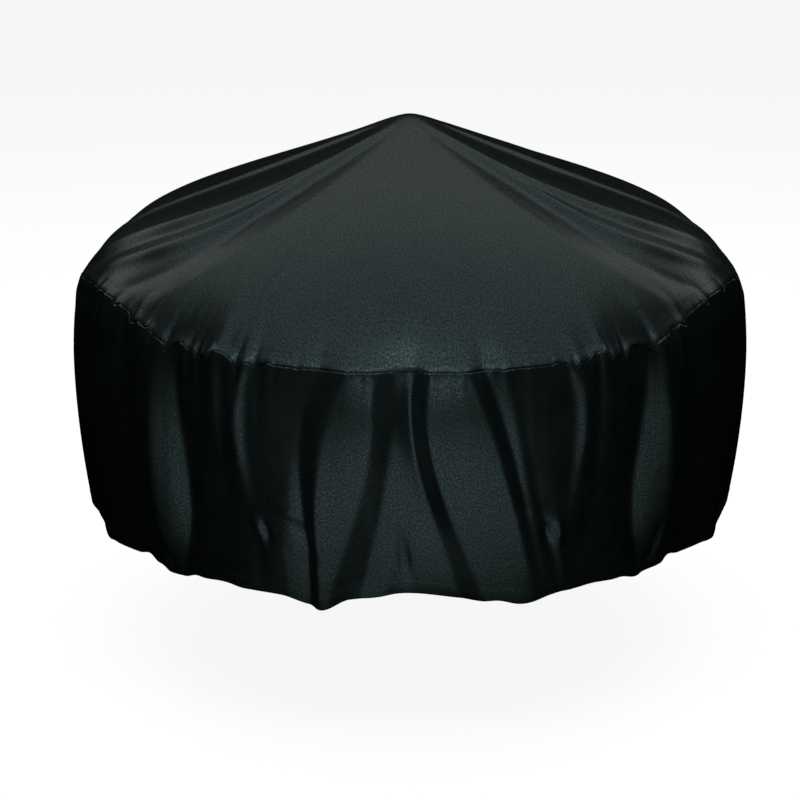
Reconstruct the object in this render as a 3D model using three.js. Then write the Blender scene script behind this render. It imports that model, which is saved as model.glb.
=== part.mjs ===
// Fire pit cover: a round fitted cover of coated woven polyester, in two cut pieces.
// The top panel is a low cone that rolls over at its shoulder. The skirt is sewn to its rim, hangs in loose
// gathers and is drawn in a little towards its turned hem.
//
// Millimetres, +Z up, front towards -Y. The origin is the point under the peak where the cover is held up.
// An angle is in degrees from the front, and grows to the right of someone who faces the front.
import * as THREE from 'three';

// Driving dimensions
const COVER_DIAMETER = 840;
const SEAM_DIAMETER = 828;
const HEM_DIAMETER = 810;
const TOP_HEIGHT = 212;
const SKIRT_DEPTH = 269;
const CLOTH_THICKNESS = 2;
const SEAM_GAP = 0.3;

// The cone, its blunt peak and the shoulder that rolls over to the seam
const CONE_SLOPE = 0.343;
const PEAK_ROUNDING = 12;
const FRONT_SHOULDER_POWER = 5;
const SIDE_SHOULDER_POWER = 8;
const SEAM_REACH_POWER = 14;
const WAVE_REACH_POWER = 20;
const WIDEST_DEPTH = 85;
const SHOULDER_LEAN = 0.33;

// How finely the cloth is divided
const COLUMNS = 200;
const TOP_ROWS = 10;
const SKIRT_ROWS = 11;
const FRONT_CROWDING = 0.35;
const TOP_ROW_POWER = 1.5;

// How softly a crease of each piece is rounded, to each side of its line
const TOP_CREASE_REACH = 9;
const FRONT_CREASE_REACH = 5;
const BACK_CREASE_REACH = 9;
const ROUNDING = [
  { reach: -1, weight: 0.1 },
  { reach: -0.6, weight: 0.2 },
  { reach: -0.2, weight: 0.2 },
  { reach: 0.2, weight: 0.2 },
  { reach: 0.6, weight: 0.2 },
  { reach: 1, weight: 0.1 },
];

const SEAM_RADIUS = SEAM_DIAMETER / 2;
const HEM_RADIUS = HEM_DIAMETER / 2;
const WIDEST_RADIUS = COVER_DIAMETER / 2;
const SEAM_Z = CLOTH_THICKNESS - TOP_HEIGHT;

// Crest and trough lines of the top panel. Each runs out from its angle at the peak through its angles at a
// third of the way, at two thirds and at the rim, and stands at its three heights there. The side lines are
// given for the right side and stand mirrored on the left one too.
const TOP_SIDE_LINES = [
  { atPeak: 4, inner: 12, outer: 13, rim: 14, innerHeight: 0, outerHeight: 0.4, rimHeight: 0.5 },
  { atPeak: 7, inner: 18, outer: 21, rim: 26, innerHeight: 0, outerHeight: -0.7, rimHeight: -1.5 },
  { atPeak: 10, inner: 23, outer: 28, rim: 34, innerHeight: 0.3, outerHeight: 0.5, rimHeight: 1 },
  { atPeak: 13, inner: 28, outer: 36, rim: 52, innerHeight: 0.2, outerHeight: 0.6, rimHeight: 1.2 },
  { atPeak: 16, inner: 32, outer: 41, rim: 57, innerHeight: 0.1, outerHeight: -0.9, rimHeight: -2.4 },
  { atPeak: 19, inner: 36, outer: 44.6, rim: 60.5, innerHeight: -0.1, outerHeight: -2.2, rimHeight: -5 },
  { atPeak: 21, inner: 38.6, outer: 46, rim: 63, innerHeight: 0.3, outerHeight: -1.4, rimHeight: -2 },
  { atPeak: 24, inner: 41, outer: 47.4, rim: 70, innerHeight: 1.4, outerHeight: -0.4, rimHeight: 1 },
  { atPeak: 31, inner: 42.6, outer: 49, rim: 74, innerHeight: 3, outerHeight: 1.2, rimHeight: 4.5 },
  { atPeak: 34, inner: 43.4, outer: 54.5, rim: 81, innerHeight: 3.7, outerHeight: 4.6, rimHeight: 0.5 },
  { atPeak: 37, inner: 44.4, outer: 57.5, rim: 85, innerHeight: 4.4, outerHeight: 7.6, rimHeight: 5 },
  { atPeak: 60, inner: 71, outer: 78.5, rim: 95, innerHeight: -2.6, outerHeight: -2.8, rimHeight: -2 },
  { atPeak: 70, inner: 76, outer: 81, rim: 99, innerHeight: 1.2, outerHeight: 0.4, rimHeight: 1.5 },
  { atPeak: 84, inner: 95, outer: 90, rim: 105, innerHeight: -3.5, outerHeight: -4, rimHeight: -2 },
  { atPeak: 100, inner: 110, outer: 102, rim: 111, innerHeight: -3.5, outerHeight: -0.5, rimHeight: 0 },
  { atPeak: 120, inner: 124, outer: 124, rim: 126, innerHeight: -3, outerHeight: -3, rimHeight: -6 },
];

const TOP_BACK_LINES = [
  { atPeak: 0, inner: 0, outer: 0, rim: 0, innerHeight: 0, outerHeight: 0, rimHeight: 0 },
  { atPeak: 146, inner: 146, outer: 145, rim: 141, innerHeight: 4, outerHeight: 6, rimHeight: 5 },
  { atPeak: 160, inner: 160, outer: 158, rim: 156, innerHeight: -3, outerHeight: -5, rimHeight: -5 },
  { atPeak: 171, inner: 172, outer: 173, rim: 174, innerHeight: 4, outerHeight: 7, rimHeight: 5 },
  { atPeak: 183, inner: 184, outer: 186, rim: 188, innerHeight: -3, outerHeight: -5, rimHeight: -6 },
  { atPeak: 198, inner: 199, outer: 200, rim: 202, innerHeight: 5, outerHeight: 7, rimHeight: 5 },
  { atPeak: 214, inner: 214, outer: 216, rim: 219, innerHeight: -1, outerHeight: -3, rimHeight: -4 },
];

const TOP_LINES = [...TOP_SIDE_LINES, ...TOP_SIDE_LINES.map(mirroredLine), ...TOP_BACK_LINES];

// Crest (+) and crease (-) lines of the skirt, by their angle and height at the seam, at a third of the way
// down, at two thirds and at the hem. The cloth runs nearly flat from each line to the next.
const SKIRT_LINES = [
  { seamAt: 0.4, upperAt: 0.8, lowerAt: 3.8, hemAt: 8.6, seam: -3, upper: -17, lower: -8, hem: -8 },
  { seamAt: 2.8, upperAt: 2.8, lowerAt: 6.8, hemAt: 11.6, seam: 2, upper: 6.5, lower: 6.5, hem: 4 },
  { seamAt: 9, upperAt: 13.2, lowerAt: 16.6, hemAt: 19.5, seam: 3, upper: 7.5, lower: 5, hem: 3 },
  { seamAt: 10.8, upperAt: 14.9, lowerAt: 18, hemAt: 22, seam: -1, upper: 0, lower: 3.4, hem: 3 },
  { seamAt: 14.5, upperAt: 16.6, lowerAt: 19.5, hemAt: 23.4, seam: 1, upper: 2.5, lower: 3.2, hem: 3 },
  { seamAt: 16, upperAt: 17.8, lowerAt: 20.7, hemAt: 24.6, seam: 0, upper: 0.8, lower: 1, hem: 2 },
  { seamAt: 20.5, upperAt: 21, lowerAt: 23, hemAt: 26, seam: 0, upper: 1, lower: 2, hem: 2 },
  { seamAt: 24.3, upperAt: 25.4, lowerAt: 24.4, hemAt: 27.2, seam: 0, upper: 0, lower: 0, hem: 1 },
  { seamAt: 25.8, upperAt: 27.2, lowerAt: 26, hemAt: 28.5, seam: 4, upper: 5, lower: -0.5, hem: 1 },
  { seamAt: 29.8, upperAt: 29.6, lowerAt: 29.6, hemAt: 30.2, seam: 0, upper: -1, lower: -2, hem: 1 },
  { seamAt: 31.2, upperAt: 31.2, lowerAt: 31.4, hemAt: 32, seam: 4, upper: 1, lower: -2, hem: 2 },
  { seamAt: 34.5, upperAt: 34, lowerAt: 33.5, hemAt: 36, seam: 0, upper: -3, lower: -4, hem: 1 },
  { seamAt: 39.5, upperAt: 39.2, lowerAt: 38.2, hemAt: 42.2, seam: -3, upper: -12, lower: -14, hem: -6 },
  { seamAt: 42.5, upperAt: 43.4, lowerAt: 44, hemAt: 44.2, seam: 2, upper: 12, lower: 13, hem: 3 },
  { seamAt: 52, upperAt: 51, lowerAt: 51, hemAt: 52, seam: -1, upper: -2, lower: -2, hem: -3 },
  { seamAt: 61, upperAt: 60, lowerAt: 61, hemAt: 60, seam: 2, upper: 4, lower: 5, hem: 7 },
  { seamAt: 71, upperAt: 71, lowerAt: 71, hemAt: 71, seam: -2, upper: -5, lower: -6, hem: -4 },
  { seamAt: 81, upperAt: 80, lowerAt: 80, hemAt: 81, seam: 1, upper: 3, lower: 3, hem: 3 },
  { seamAt: 90, upperAt: 90, lowerAt: 89, hemAt: 89, seam: -1, upper: -2, lower: -2, hem: -1 },
  { seamAt: 97, upperAt: 96, lowerAt: 97, hemAt: 98, seam: 1, upper: 3, lower: 2, hem: 2 },
  { seamAt: 103, upperAt: 103, lowerAt: 104, hemAt: 103, seam: -2, upper: -6, lower: -6, hem: -5 },
  { seamAt: 110, upperAt: 111, lowerAt: 109, hemAt: 107, seam: 2, upper: 6, lower: 6, hem: 5 },
  { seamAt: 122, upperAt: 122, lowerAt: 124, hemAt: 125, seam: -3, upper: -7, lower: -7, hem: -5 },
  { seamAt: 137, upperAt: 136, lowerAt: 135, hemAt: 138, seam: 2, upper: 6, lower: 6, hem: 7 },
  { seamAt: 143, upperAt: 144, lowerAt: 144, hemAt: 143, seam: 0, upper: 1, lower: 0, hem: 2 },
  { seamAt: 149, upperAt: 150, lowerAt: 151, hemAt: 149, seam: -2, upper: -7, lower: -8, hem: -5 },
  { seamAt: 163, upperAt: 162, lowerAt: 163, hemAt: 165, seam: 2, upper: 5, lower: 5, hem: 5 },
  { seamAt: 170, upperAt: 170, lowerAt: 171, hemAt: 172, seam: 0, upper: 0, lower: -2, hem: -1 },
  { seamAt: 177, upperAt: 178, lowerAt: 178, hemAt: 176, seam: -3, upper: -6, lower: -7, hem: -7 },
  { seamAt: 192, upperAt: 193, lowerAt: 194, hemAt: 191, seam: 2, upper: 6, lower: 6, hem: 5 },
  { seamAt: 207, upperAt: 206, lowerAt: 205, hemAt: 207, seam: -2, upper: -7, lower: -7, hem: -5 },
  { seamAt: 214, upperAt: 214, lowerAt: 213, hemAt: 213, seam: 0, upper: 0, lower: -1, hem: 1 },
  { seamAt: 221, upperAt: 222, lowerAt: 222, hemAt: 219, seam: 2, upper: 5, lower: 6, hem: 7 },
  { seamAt: 236, upperAt: 235, lowerAt: 235, hemAt: 236, seam: -3, upper: -6, lower: -7, hem: -6 },
  { seamAt: 250, upperAt: 251, lowerAt: 251, hemAt: 248, seam: 2, upper: 6, lower: 6, hem: 4 },
  { seamAt: 257, upperAt: 257, lowerAt: 256, hemAt: 257, seam: -2, upper: -6, lower: -6, hem: -5 },
  { seamAt: 263, upperAt: 263, lowerAt: 264, hemAt: 264, seam: 1, upper: 2, lower: 2, hem: 2 },
  { seamAt: 270, upperAt: 271, lowerAt: 270, hemAt: 271, seam: -1, upper: -2, lower: -2, hem: -1 },
  { seamAt: 280, upperAt: 281, lowerAt: 281, hemAt: 280, seam: 1, upper: 3, lower: 3, hem: 4 },
  { seamAt: 289, upperAt: 290, lowerAt: 290, hemAt: 289, seam: -2, upper: -5, lower: -6, hem: -5 },
  { seamAt: 300, upperAt: 300, lowerAt: 300, hemAt: 302, seam: 2, upper: 4, lower: 5, hem: 6 },
  { seamAt: 309, upperAt: 309, lowerAt: 309, hemAt: 309, seam: -1, upper: -2, lower: -2, hem: -3 },
  { seamAt: 317, upperAt: 316.8, lowerAt: 316.8, hemAt: 317, seam: 2, upper: 12, lower: 13, hem: 3 },
  { seamAt: 321, upperAt: 321.4, lowerAt: 322.4, hemAt: 319, seam: -3, upper: -12, lower: -14, hem: -6 },
  { seamAt: 326, upperAt: 326, lowerAt: 326, hemAt: 325, seam: 0, upper: -3, lower: -4, hem: 1 },
  { seamAt: 329, upperAt: 329, lowerAt: 329, hemAt: 329, seam: 4, upper: 1, lower: -2, hem: 2 },
  { seamAt: 330.4, upperAt: 330.6, lowerAt: 331, hemAt: 331.5, seam: 0, upper: -1, lower: -2, hem: 2 },
  { seamAt: 334.2, upperAt: 333, lowerAt: 335, hemAt: 336, seam: 4, upper: 5, lower: -0.5, hem: 1 },
  { seamAt: 335.7, upperAt: 334.6, lowerAt: 336.6, hemAt: 338, seam: 0, upper: 0, lower: 0, hem: 1 },
  { seamAt: 341.5, upperAt: 341.5, lowerAt: 341.5, hemAt: 342, seam: 0, upper: 1, lower: 2, hem: 3 },
  { seamAt: 346.5, upperAt: 343.6, lowerAt: 344.2, hemAt: 344.2, seam: -1, upper: 1, lower: -1, hem: -3 },
  { seamAt: 350.5, upperAt: 346.6, lowerAt: 345.6, hemAt: 345.6, seam: 3.5, upper: 8.5, lower: 8, hem: 6 },
  { seamAt: 354, upperAt: 353.4, lowerAt: 350.6, hemAt: 347, seam: 3, upper: 8.5, lower: 8, hem: 6 },
  { seamAt: 357.2, upperAt: 357, lowerAt: 355.2, hemAt: 352, seam: 0, upper: -4.2, lower: -10, hem: -8 },
  { seamAt: 358.6, upperAt: 358.6, lowerAt: 357, hemAt: 356.4, seam: -1, upper: -9, lower: -8, hem: -6 },
  { seamAt: 359.6, upperAt: 359.6, lowerAt: 359.4, hemAt: 359, seam: -2, upper: -13, lower: -8, hem: -12 },
];

// Where the hem hangs lower (+) or higher (-) than its mean line.
const HEM_DIPS = [
  { angle: 0, left: 62, right: 84, drop: -8 },
  { angle: -14, left: 48, right: 32, drop: 11 },
  { angle: 18, left: 34, right: 48, drop: 7 },
  { angle: -31, left: 40, right: 26, drop: -3 },
  { angle: 31, left: 34, right: 30, drop: -2 },
  { angle: -41, left: 32, right: 30, drop: 8 },
  { angle: 41, left: 36, right: 26, drop: 8 },
  { angle: -49, left: 24, right: 20, drop: -5 },
  { angle: 48, left: 16, right: 30, drop: -6 },
  { angle: -66, left: 74, right: 60, drop: 10 },
  { angle: 67, left: 66, right: 78, drop: 11 },
  { angle: 97, left: 60, right: 60, drop: -4 },
  { angle: 128, left: 90, right: 84, drop: 6 },
  { angle: 163, left: 86, right: 90, drop: -5 },
  { angle: -142, left: 84, right: 90, drop: 7 },
  { angle: -98, left: 62, right: 66, drop: -5 },
];

// How far the seam rides up over the shoulder, above its level line.
const SEAM_RISES = [
  { angle: 62, left: 200, right: 238, rise: 34 },
  { angle: 95, left: 238, right: 238, rise: 17 },
  { angle: 128, left: 238, right: 238, rise: 22 },
  { angle: 161, left: 238, right: 250, rise: 17 },
  { angle: -161, left: 250, right: 238, rise: 19 },
  { angle: -128, left: 238, right: 238, rise: 20 },
  { angle: -95, left: 238, right: 238, rise: 17 },
  { angle: -62, left: 238, right: 200, rise: 34 },
];

// Short waves of the seam on top of those, near the front.
const SEAM_WAVES = [
  { angle: -38, left: 22, right: 16, rise: 6 },
  { angle: 37, left: 16, right: 24, rise: 6 },
  { angle: -31, left: 14, right: 30, rise: 9 },
  { angle: 31, left: 30, right: 14, rise: 9 },
];

/** The same line of the top panel on the other side of the front. */
function mirroredLine(line) {
  return { ...line, atPeak: -line.atPeak, inner: -line.inner, outer: -line.outer, rim: -line.rim };
}

/** A soft bump of height 1 at offset 0, which falls to 0 over each of its two widths. */
function bump(offset, left, right) {
  const share = Math.abs(offset) / (offset < 0 ? left : right);
  return share < 1 ? 0.5 + 0.5 * Math.cos(Math.PI * share) : 0;
}

/** A smooth value through four given ones, at 0, at a third, at two thirds and at 1. */
function throughFour(first, second, third, last, share) {
  const start = share;
  const thirdWay = share - 1 / 3;
  const twoThirds = share - 2 / 3;
  const end = share - 1;
  const outerParts = last * 4.5 * start * thirdWay * twoThirds - first * 4.5 * thirdWay * twoThirds * end;
  const innerParts = second * 13.5 * start * twoThirds * end - third * 13.5 * start * thirdWay * end;
  return outerParts + innerParts;
}

/** A smooth rise from 0 at the low value to 1 at the high one. */
function ramp(value, low, high) {
  return THREE.MathUtils.smoothstep(value, low, high);
}

/** The distance round a circle from one angle to another, in millimetres, to the right if positive. */
function arcBetween(from, to, radius) {
  const turn = THREE.MathUtils.euclideanModulo(to - from + 180, 360) - 180;
  return THREE.MathUtils.degToRad(turn) * radius;
}

/** How many degrees an angle lies from the front, to either side. */
function degreesFromFront(angle) {
  return THREE.MathUtils.radToDeg(Math.abs(arcBetween(0, angle, 1)));
}

/** The height at an angle on the straight run between the two lines beside it. */
function heightBetween(lines, angle) {
  const turned = THREE.MathUtils.euclideanModulo(angle, 360);
  const next = lines.findIndex((line) => line.angle > turned);
  const from = lines[next > 0 ? next - 1 : lines.length - 1];
  const to = lines[next >= 0 ? next : 0];
  const width = THREE.MathUtils.euclideanModulo(to.angle - from.angle, 360);
  const share = THREE.MathUtils.euclideanModulo(turned - from.angle, 360) / width;
  return from.height + (to.height - from.height) * share;
}

/** The height at an angle of cloth that runs flat from line to line, each crease rounded over its reach. */
function facetHeight(lines, angle, reach) {
  const sorted = lines
    .map((line) => ({ ...line, angle: THREE.MathUtils.euclideanModulo(line.angle, 360) }))
    .sort((one, other) => one.angle - other.angle);
  let sum = 0;
  for (const step of ROUNDING) {
    sum += step.weight * heightBetween(sorted, angle + step.reach * reach);
  }
  return sum;
}

/** How far the gathers carry the skirt out from its plain round form. */
function gatherAt(down, angle) {
  const lines = SKIRT_LINES.map((line) => ({
    angle: throughFour(line.seamAt, line.upperAt, line.lowerAt, line.hemAt, down),
    height: throughFour(line.seam, line.upper, line.lower, line.hem, down),
  }));
  const towardsBack = ramp(degreesFromFront(angle), 45, 100);
  const reach = FRONT_CREASE_REACH + (BACK_CREASE_REACH - FRONT_CREASE_REACH) * towardsBack;
  return facetHeight(lines, angle, THREE.MathUtils.radToDeg(reach / SEAM_RADIUS));
}

/** How far the folds lift the top panel above its plain cone. They fade out at the peak and at the rim. */
function topFoldAt(across, angle) {
  const fade = ramp(across, 0, 0.2) * (1 - ramp(across, 0.93, 1));
  const lines = TOP_LINES.map((line) => ({
    angle: throughFour(line.atPeak, line.inner, line.outer, line.rim, across),
    height: fade * throughFour(0, line.innerHeight, line.outerHeight, line.rimHeight, across),
  }));
  const radius = Math.max(across * SEAM_RADIUS, TOP_CREASE_REACH);
  return facetHeight(lines, angle, THREE.MathUtils.radToDeg(TOP_CREASE_REACH / radius));
}

/** How far a table's rows lift the seam at an angle. */
function liftOf(table, angle) {
  let sum = 0;
  for (const row of table) {
    sum += row.rise * bump(arcBetween(row.angle, angle, SEAM_RADIUS), row.left, row.right);
  }
  return sum;
}

/** How far below its mean line the hem hangs. */
function hemDipAt(angle) {
  let sum = 0;
  for (const dip of HEM_DIPS) {
    sum += dip.drop * bump(arcBetween(dip.angle, angle, HEM_RADIUS), dip.left, dip.right);
  }
  return sum;
}

/** The point at a radius, an angle and a height. */
function pointAt(radius, angle, z) {
  const turn = THREE.MathUtils.degToRad(angle);
  return new THREE.Vector3(radius * Math.sin(turn), -radius * Math.cos(turn), z);
}

/** How tightly the shoulder rolls over at an angle: softly in front and tighter at the sides and back. */
function shoulderPowerAt(angle) {
  const more = SIDE_SHOULDER_POWER - FRONT_SHOULDER_POWER;
  return FRONT_SHOULDER_POWER + more * ramp(degreesFromFront(angle), 50, 90);
}

/** The height of the plain cone and its shoulder at a radius and an angle. */
function plainTopHeight(radius, angle) {
  const cone = CONE_SLOPE * (Math.hypot(radius, PEAK_ROUNDING) - PEAK_ROUNDING);
  const coneAtSeam = CONE_SLOPE * (Math.hypot(SEAM_RADIUS, PEAK_ROUNDING) - PEAK_ROUNDING);
  const shoulder = (TOP_HEIGHT - coneAtSeam) * (radius / SEAM_RADIUS) ** shoulderPowerAt(angle);
  return CLOTH_THICKNESS - cone - shoulder;
}

/** The plain radius of the skirt at a depth below the seam's level line. */
function plainSkirtRadius(depth) {
  if (depth < 0) {
    return SEAM_RADIUS + SHOULDER_LEAN * depth;
  }
  if (depth < WIDEST_DEPTH) {
    return WIDEST_RADIUS - (WIDEST_RADIUS - SEAM_RADIUS) * (1 - depth / WIDEST_DEPTH) ** 2;
  }
  const belowWidest = (depth - WIDEST_DEPTH) / (SKIRT_DEPTH - WIDEST_DEPTH);
  return WIDEST_RADIUS - (WIDEST_RADIUS - HEM_RADIUS) * belowWidest ** 2;
}

/** A point of the top panel's outer face, from the peak (across 0) to the seam (across 1). */
function topPoint(across, angle) {
  const rise = liftOf(SEAM_RISES, angle);
  const wave = liftOf(SEAM_WAVES, angle);
  const seamRadius = plainSkirtRadius(-rise);
  const radius = across * seamRadius;
  const waved = across ** WAVE_REACH_POWER;
  const lift = SEAM_Z + SEAM_GAP / 2 + rise - plainTopHeight(seamRadius, angle);
  const lifted = across ** shoulderPowerAt(angle) * lift;
  const z = plainTopHeight(radius, angle) + topFoldAt(across, angle) + lifted + waved * wave;
  const wavedOut = waved * (plainSkirtRadius(-rise - wave) - seamRadius);
  const gathered = across ** SEAM_REACH_POWER * gatherAt(0, angle);
  return pointAt(radius + gathered + wavedOut, angle, z);
}

/** A point of the skirt's outer face, from the seam (down 0) to the hem (down 1). */
function skirtPoint(down, angle) {
  const rise = liftOf(SEAM_RISES, angle) + liftOf(SEAM_WAVES, angle);
  const depth = down * (SKIRT_DEPTH + rise) - rise;
  const radius = plainSkirtRadius(depth) + gatherAt(down, angle);
  return pointAt(radius, angle, SEAM_Z - SEAM_GAP / 2 - depth - down ** 2 * hemDipAt(angle));
}

/** The point one cloth thickness behind an outer point: level at a cut edge, square to the face elsewhere. */
function innerPoint(outerPoint, along, angle, isEdge) {
  const point = outerPoint(along, angle);
  if (isEdge) {
    return point.sub(pointAt(CLOTH_THICKNESS, angle, 0));
  }
  const step = 0.004;
  const turn = 0.4;
  const downward = outerPoint(along + step, angle).sub(outerPoint(along - step, angle));
  const around = outerPoint(along, angle + turn).sub(outerPoint(along, angle - turn));
  const outward = downward.cross(around).normalize();
  return point.addScaledVector(outward, -CLOTH_THICKNESS);
}

/** The angle of a column. The columns stand closer together at the front, where the folds are narrow. */
function columnAngle(column) {
  const even = (2 * Math.PI * column) / COLUMNS;
  return THREE.MathUtils.radToDeg(even - FRONT_CROWDING * Math.sin(even));
}

/** The closed solid of a band of cloth whose rows run round it. A band with a peak starts in one point. */
function clothGeometry(outerPoint, rows, peak) {
  const positions = [];
  const triangles = [];
  const sides = [[], []];
  rows.forEach((along, row) => {
    const isEdge = row === rows.length - 1 || (row === 0 && !peak);
    for (let column = 0; column < COLUMNS; column += 1) {
      const angle = columnAngle(column);
      const points = [outerPoint(along, angle), innerPoint(outerPoint, along, angle, isEdge)];
      points.forEach((point, side) => {
        sides[side].push(positions.length / 3);
        positions.push(point.x, point.y, point.z);
      });
    }
  });
  const at = (side, row, column) => sides[side][row * COLUMNS + (column % COLUMNS)];
  const addQuad = (a, b, c, d) => triangles.push(a, b, c, a, c, d);

  for (let column = 0; column < COLUMNS; column += 1) {
    const next = column + 1;
    for (let row = 0; row < rows.length - 1; row += 1) {
      addQuad(at(0, row, column), at(0, row + 1, column), at(0, row + 1, next), at(0, row, next));
      addQuad(at(1, row, next), at(1, row + 1, next), at(1, row + 1, column), at(1, row, column));
    }
    const last = rows.length - 1;
    addQuad(at(0, last, column), at(1, last, column), at(1, last, next), at(0, last, next));
    if (!peak) {
      addQuad(at(0, 0, next), at(1, 0, next), at(1, 0, column), at(0, 0, column));
    }
  }
  if (peak) {
    const [outerPeak, innerPeak] = peak.map((point) => {
      positions.push(point.x, point.y, point.z);
      return positions.length / 3 - 1;
    });
    for (let column = 0; column < COLUMNS; column += 1) {
      triangles.push(outerPeak, at(0, 0, column), at(0, 0, column + 1));
      triangles.push(innerPeak, at(1, 0, column + 1), at(1, 0, column));
    }
  }
  const geometry = new THREE.BufferGeometry();
  geometry.setAttribute('position', new THREE.Float32BufferAttribute(positions, 3));
  geometry.setIndex(triangles);
  geometry.computeVertexNormals();
  return geometry;
}

/** One cut piece of the cover as a named mesh in its cloth. */
function clothPiece(name, geometry, colour) {
  const cloth = new THREE.MeshStandardMaterial({ color: colour, roughness: 0.55, metalness: 0 });
  const piece = new THREE.Mesh(geometry, cloth);
  piece.name = name;
  return piece;
}

/** The top panel: rows stand closer together towards the shoulder, where the cloth turns over. */
function makeTopPanel() {
  const rows = [];
  for (let row = 1; row <= TOP_ROWS; row += 1) {
    rows.push(1 - (1 - row / TOP_ROWS) ** TOP_ROW_POWER);
  }
  const peak = [new THREE.Vector3(0, 0, CLOTH_THICKNESS), new THREE.Vector3(0, 0, 0)];
  return clothPiece('top_panel', clothGeometry(topPoint, rows, peak), 0x2c3637);
}

/** The skirt, from the seam to the hem. */
function makeSkirt() {
  const rows = [];
  for (let row = 0; row <= SKIRT_ROWS; row += 1) {
    rows.push(row / SKIRT_ROWS);
  }
  return clothPiece('skirt', clothGeometry(skirtPoint, rows, null), 0x1d2626);
}

const cover = new THREE.Group();
cover.add(makeTopPanel(), makeSkirt());

export default cover;
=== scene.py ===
"""Fire pit cover: the looks of a round fitted cover in coated woven polyester.

The cover is two cut pieces, sewn together and hung over what holds it up: a top panel, which is a low cone
that rolls over at its shoulder, and a skirt with its turned hem. Each is a thin sheet on the folds of its
solid, with finer puckers, creases and stitches. Sizes are in millimetres until a mesh is made. An angle is
in degrees from the front (-Y), and grows to the right of someone who faces the front.
"""

from __future__ import annotations

import logging
import math
from dataclasses import dataclass
from enum import Enum

import bpy
import numpy as np
from bpy.types import ID, Material, Mesh, Node, NodeTree, Object
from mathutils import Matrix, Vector


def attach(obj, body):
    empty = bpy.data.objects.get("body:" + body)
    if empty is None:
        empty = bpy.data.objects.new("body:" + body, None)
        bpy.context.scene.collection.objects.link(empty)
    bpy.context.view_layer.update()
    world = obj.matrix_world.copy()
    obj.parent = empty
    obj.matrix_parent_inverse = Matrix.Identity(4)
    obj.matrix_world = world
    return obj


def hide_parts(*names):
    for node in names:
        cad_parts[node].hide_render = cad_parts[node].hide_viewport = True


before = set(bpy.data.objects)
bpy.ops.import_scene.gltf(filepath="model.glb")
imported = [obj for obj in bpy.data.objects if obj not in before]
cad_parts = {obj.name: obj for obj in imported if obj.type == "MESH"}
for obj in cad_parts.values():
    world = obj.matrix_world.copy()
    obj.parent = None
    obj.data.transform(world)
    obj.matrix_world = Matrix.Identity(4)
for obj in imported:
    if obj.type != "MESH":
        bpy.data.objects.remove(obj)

Array = np.ndarray
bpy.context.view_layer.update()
MILLIMETRE = 0.001
# How a crease is rounded: shares of its reach to each side, and the weight of each.
ROUNDING = ((-1.0, 0.1), (-0.6, 0.2), (-0.2, 0.2), (0.2, 0.2), (0.6, 0.2), (1.0, 0.1))
# The form of one stitch: shares of its length, and how thick it is at each.
STITCH_SHARES = (0.0, 0.18, 0.5, 0.82, 1.0)
STITCH_GIRTHS = (0.25, 0.85, 1.0, 0.85, 0.25)

log = logging.getLogger("fire_pit_cover")


class Edge(Enum):
    """Which edge of a piece a row of stitches runs along."""

    SEAM = "seam"
    HEM = "hem"


@dataclass(frozen=True)
class TopLine:
    """A crest or trough line of the top panel: its angle at the peak, at a third, at two thirds and at the
    seam, and its height at the last three."""

    at_peak: float
    inner: float
    outer: float
    rim: float
    inner_height: float
    outer_height: float
    rim_height: float

    def mirrored(self) -> TopLine:
        """Give the same line on the other side of the front."""
        return TopLine(-self.at_peak, -self.inner, -self.outer, -self.rim,
                       self.inner_height, self.outer_height, self.rim_height)

    def angle_at(self, across: Array) -> Array:
        """Give the line's angle at a share of the way from the peak to the seam."""
        return through_four(self.at_peak, self.inner, self.outer, self.rim, across)

    def height_at(self, across: Array) -> Array:
        """Give how far the line stands off the plain cone there."""
        return through_four(0, self.inner_height, self.outer_height, self.rim_height, across)


@dataclass(frozen=True)
class SkirtLine:
    """A crest or trough line of the skirt: its angle and height at the seam, at a third of the way down, at
    two thirds and at the hem."""

    seam_angle: float
    upper_angle: float
    lower_angle: float
    hem_angle: float
    seam: float
    upper: float
    lower: float
    hem: float

    def angle_at(self, down: Array) -> Array:
        """Give the line's angle at a share of the way from the seam to the hem."""
        return through_four(self.seam_angle, self.upper_angle, self.lower_angle, self.hem_angle, down)

    def height_at(self, down: Array) -> Array:
        """Give how far the line stands out there."""
        return through_four(self.seam, self.upper, self.lower, self.hem, down)


@dataclass(frozen=True)
class Dip:
    """A place where an edge stands off its mean line, by its angle, its two widths and how far."""

    angle: float
    left: float
    right: float
    amount: float


@dataclass(frozen=True)
class Crease:
    """A short crease of the skirt: its angle and depth at each end, its width across and its height."""

    start_angle: float
    start_depth: float
    end_angle: float
    end_depth: float
    width: float
    height: float


# The lines of the top panel's right side, from the front to the back. The left side mirrors them.
TOP_SIDE_LINES = tuple(TopLine(*row) for row in (
    (4, 12, 13, 14, 0, 0.4, 0.5),
    (7, 18, 21, 26, 0, -0.7, -1.5),
    (10, 23, 28, 34, 0.3, 0.5, 1),
    (13, 28, 36, 52, 0.6, 1.4, 1.6),
    (16, 32, 41, 57, -0.2, -1.4, -2.8),
    (19, 36, 44.6, 60.5, -1.2, -4, -6),
    (21, 38.6, 46, 63, -0.8, -3.6, -3),
    (24, 41, 47.4, 70, 1.2, -1.8, -1),
    (31, 42.6, 49, 74, 3.2, 2.8, 5),
    (34, 43.4, 54.5, 81, 3.0, 0.6, -1.8),
    (37, 44.4, 57.5, 85, 4.6, 6.4, 5),
    (60, 71, 78.5, 95, -2.6, -2.8, -2),
    (70, 76, 81, 99, 1.2, 0.4, 1.5),
    (84, 95, 90, 105, -3.5, -4, -2),
    (100, 110, 102, 111, -3.5, -0.5, 0),
    (120, 124, 124, 126, -3, -3, -6),
))

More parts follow.
